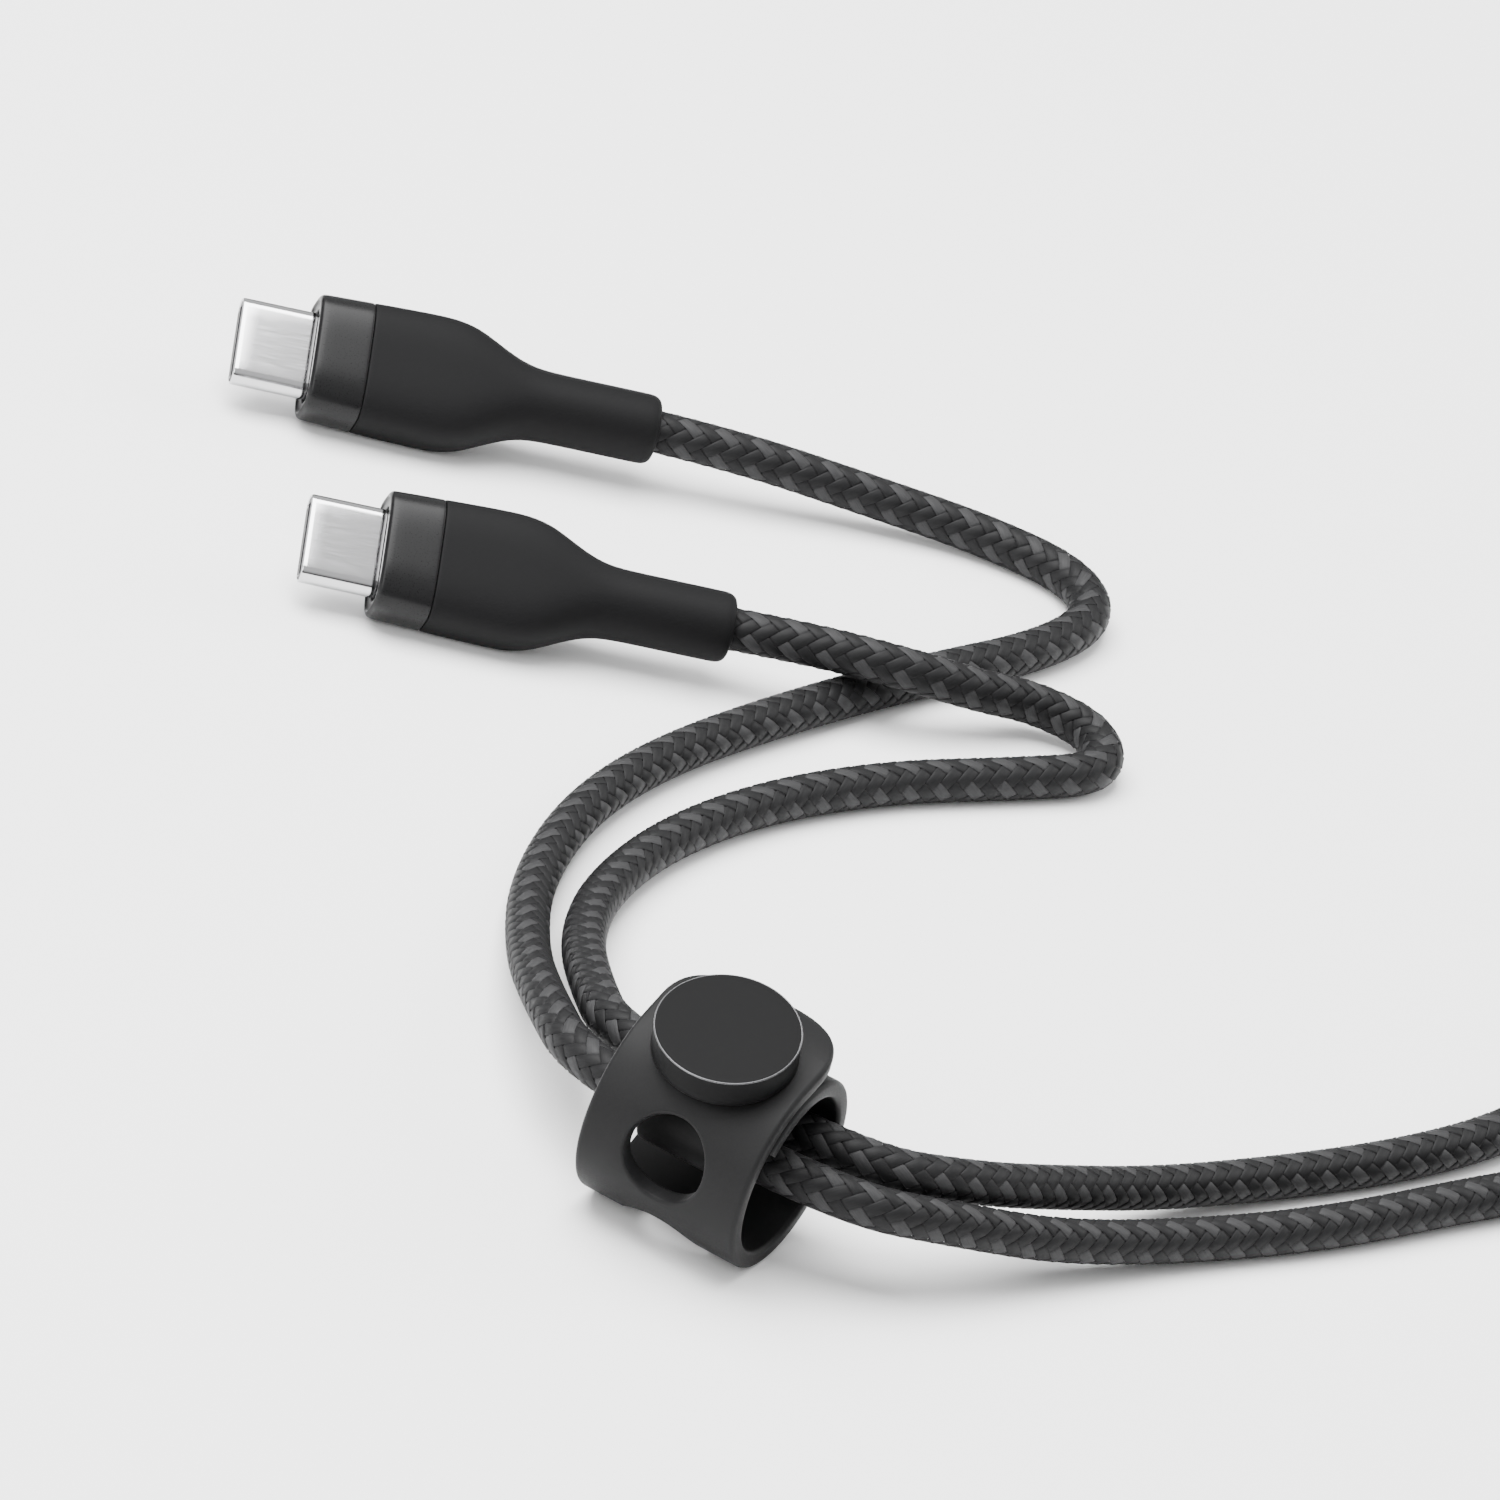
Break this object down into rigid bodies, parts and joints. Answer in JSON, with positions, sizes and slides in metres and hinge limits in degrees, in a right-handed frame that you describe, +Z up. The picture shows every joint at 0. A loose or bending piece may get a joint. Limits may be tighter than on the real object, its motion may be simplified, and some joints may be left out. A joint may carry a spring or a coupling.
{
  "type": "charging cable",
  "caption": "Braided round charging cable with a slim oval-tongue plug on each end and a silicone snap-button strap that gathers its strands.",
  "frame": {"origin": "on the floor, under the middle of the box round both plugs and the strap", "axes": "+X along the strap loop, towards the stored coil; +Z up from the floor; +Y towards the folded strands"},
  "size_m": [0.1979, 0.1398, 0.0229],
  "materials": {
    "plug_steel": "bright drawn stainless steel",
    "contact_moulding": "black glass-filled moulding",
    "contact_gold": "gold plated springs",
    "spring_steel": "satin",
    "board_green": "solder-masked fibreglass board",
    "chip_black": "matte moulded package",
    "shield_steel": "tin plated sheet",
    "inner_moulding": "cloudy inner moulding",
    "wire_insulation": "coloured wire insulation",
    "crimp_brass": "crimped brass",
    "collar_black": "satin black",
    "grip_black": "fine matte black",
    "strap_silicone": "matte charcoal silicone",
    "button_dark": "satin black anodised",
    "button_edge": "diamond-cut bright edge",
    "stud_metal": "satin black anodised",
    "cord_braid": "woven nylon braid"
  },
  "bodies": {
    "root": {"cord_a": "cord_braid", "cord_b": "cord_braid", "cord_coil": "cord_braid", "plug_a_board": "board_green", "plug_a_body": "grip_black", "plug_a_chips": "chip_black", "plug_a_collar": "collar_black", "plug_a_conductors": "wire_insulation", "plug_a_contact_housing": "contact_moulding", "plug_a_contacts": "contact_gold", "plug_a_crimp": "crimp_brass", "plug_a_latch_springs": "spring_steel", "plug_a_potting": "inner_moulding", "plug_a_shell": "plug_steel", "plug_a_shield_can": "shield_steel", "plug_b_board": "board_green", "plug_b_body": "grip_black", "plug_b_chips": "chip_black", "plug_b_collar": "collar_black", "plug_b_conductors": "wire_insulation", "plug_b_contact_housing": "contact_moulding", "plug_b_contacts": "contact_gold", "plug_b_crimp": "crimp_brass", "plug_b_latch_springs": "spring_steel", "plug_b_potting": "inner_moulding", "plug_b_shell": "plug_steel", "plug_b_shield_can": "shield_steel"},
    "strap": {"strap_band": "strap_silicone", "strap_keeper": "strap_silicone"},
    "tab": {"strap_tab": "strap_silicone", "button_cap": "button_dark", "button_trim": "button_edge", "button_stud": "stud_metal"}
  },
  "joints": [
    {"name": "strap_slide", "type": "slide", "parent": "root", "child": "strap", "axis": [1, 0, 0], "range_m": [-0.0025, 0.0025]},
    {"name": "tab_peel", "type": "hinge", "parent": "strap", "child": "tab", "pos_m": [0.046, -0.05934, 0.01405], "axis": [1, 0, 0], "range_deg": [0, 75]}
  ]
}
